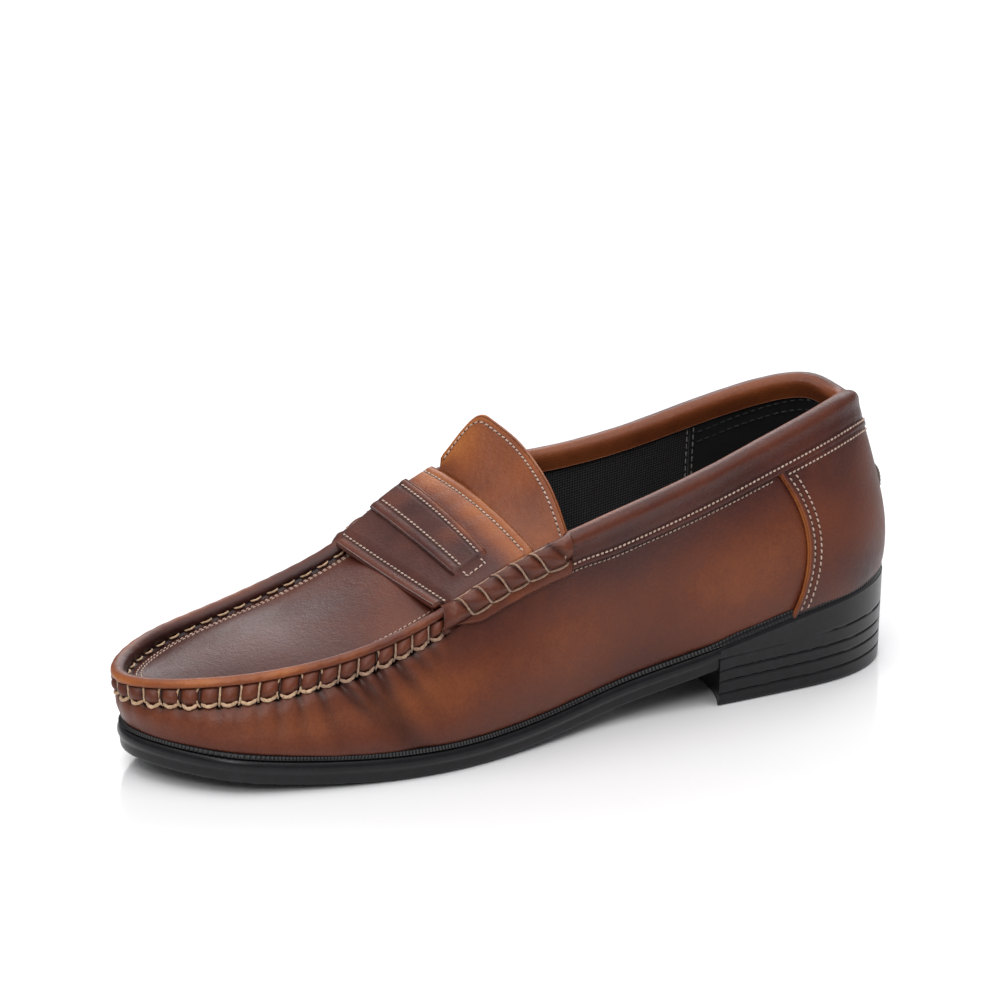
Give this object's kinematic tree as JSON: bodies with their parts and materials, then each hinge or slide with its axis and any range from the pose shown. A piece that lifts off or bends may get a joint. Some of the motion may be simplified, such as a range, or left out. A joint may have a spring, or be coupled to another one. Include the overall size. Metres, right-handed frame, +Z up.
{
  "type": "penny loafer",
  "caption": "Slip-on leather penny loafer for the left foot, with a hand-sewn apron seam, saddle strap, beef rolls and a low stacked rubber heel.",
  "frame": {"origin": "middle of the shoe's box, on the surface it stands on", "axes": "+Z up, -Y towards the toe, +Y towards the heel, +X towards the wearer's left (outer side)"},
  "size_m": [0.1026, 0.3052, 0.1018],
  "materials": {
    "side_leather": "burnished, soft sheen",
    "apron_leather": "burnished dark, soft sheen",
    "strap_leather": "burnished dark, soft sheen",
    "tongue_leather": "burnished, soft sheen",
    "collar_leather": "burnished, soft sheen",
    "black_rubber": "satin black",
    "thread": "waxed cotton",
    "lining_cloth": "black mesh",
    "grip_lining": "black smooth grip lining",
    "insole_fibre": "matte fibre board",
    "cork": "matte cork",
    "steel": "plain",
    "foam": "matte foam",
    "stiff_board": "matte board"
  },
  "bodies": {
    "shoe": {"outsole": "black_rubber", "heel_block": "black_rubber", "heel_top_lift": "black_rubber", "toothed_rand": "black_rubber", "insole_board": "insole_fibre", "sock_liner": "grip_lining", "heel_pad": "foam", "forepart_filler": "cork", "steel_shank": "steel", "heel_nail_1": "steel", "heel_nail_2": "steel", "heel_nail_3": "steel", "heel_nail_4": "steel", "heel_nail_5": "steel", "side_panel": "side_leather", "back_counter": "side_leather", "apron": "apron_leather", "saddle_strap": "strap_leather", "penny_keeper": "strap_leather", "beef_roll_left": "strap_leather", "beef_roll_thread_left": "thread", "beef_roll_right": "strap_leather", "beef_roll_thread_right": "thread", "seam_thread": "thread", "backstay_thread": "thread", "collar_binding": "collar_leather", "collar_padding": "foam", "vamp_lining": "lining_cloth", "quarter_lining_left": "lining_cloth", "quarter_lining_right": "lining_cloth", "heel_lining": "grip_lining", "toe_puff": "stiff_board", "heel_stiffener": "stiff_board"},
    "tongue": {"tongue": "tongue_leather", "tongue_lining": "lining_cloth"}
  },
  "joints": [
    {"name": "tongue_lift", "type": "hinge", "parent": "shoe", "child": "tongue", "pos_m": [-0.00266, -0.00963, 0.0775], "axis": [0.9802, 0.0068, -0.1977], "range_deg": [0, 20], "stiffness_Nm_per_rad": 0.01, "springref_deg": -8.59}
  ]
}
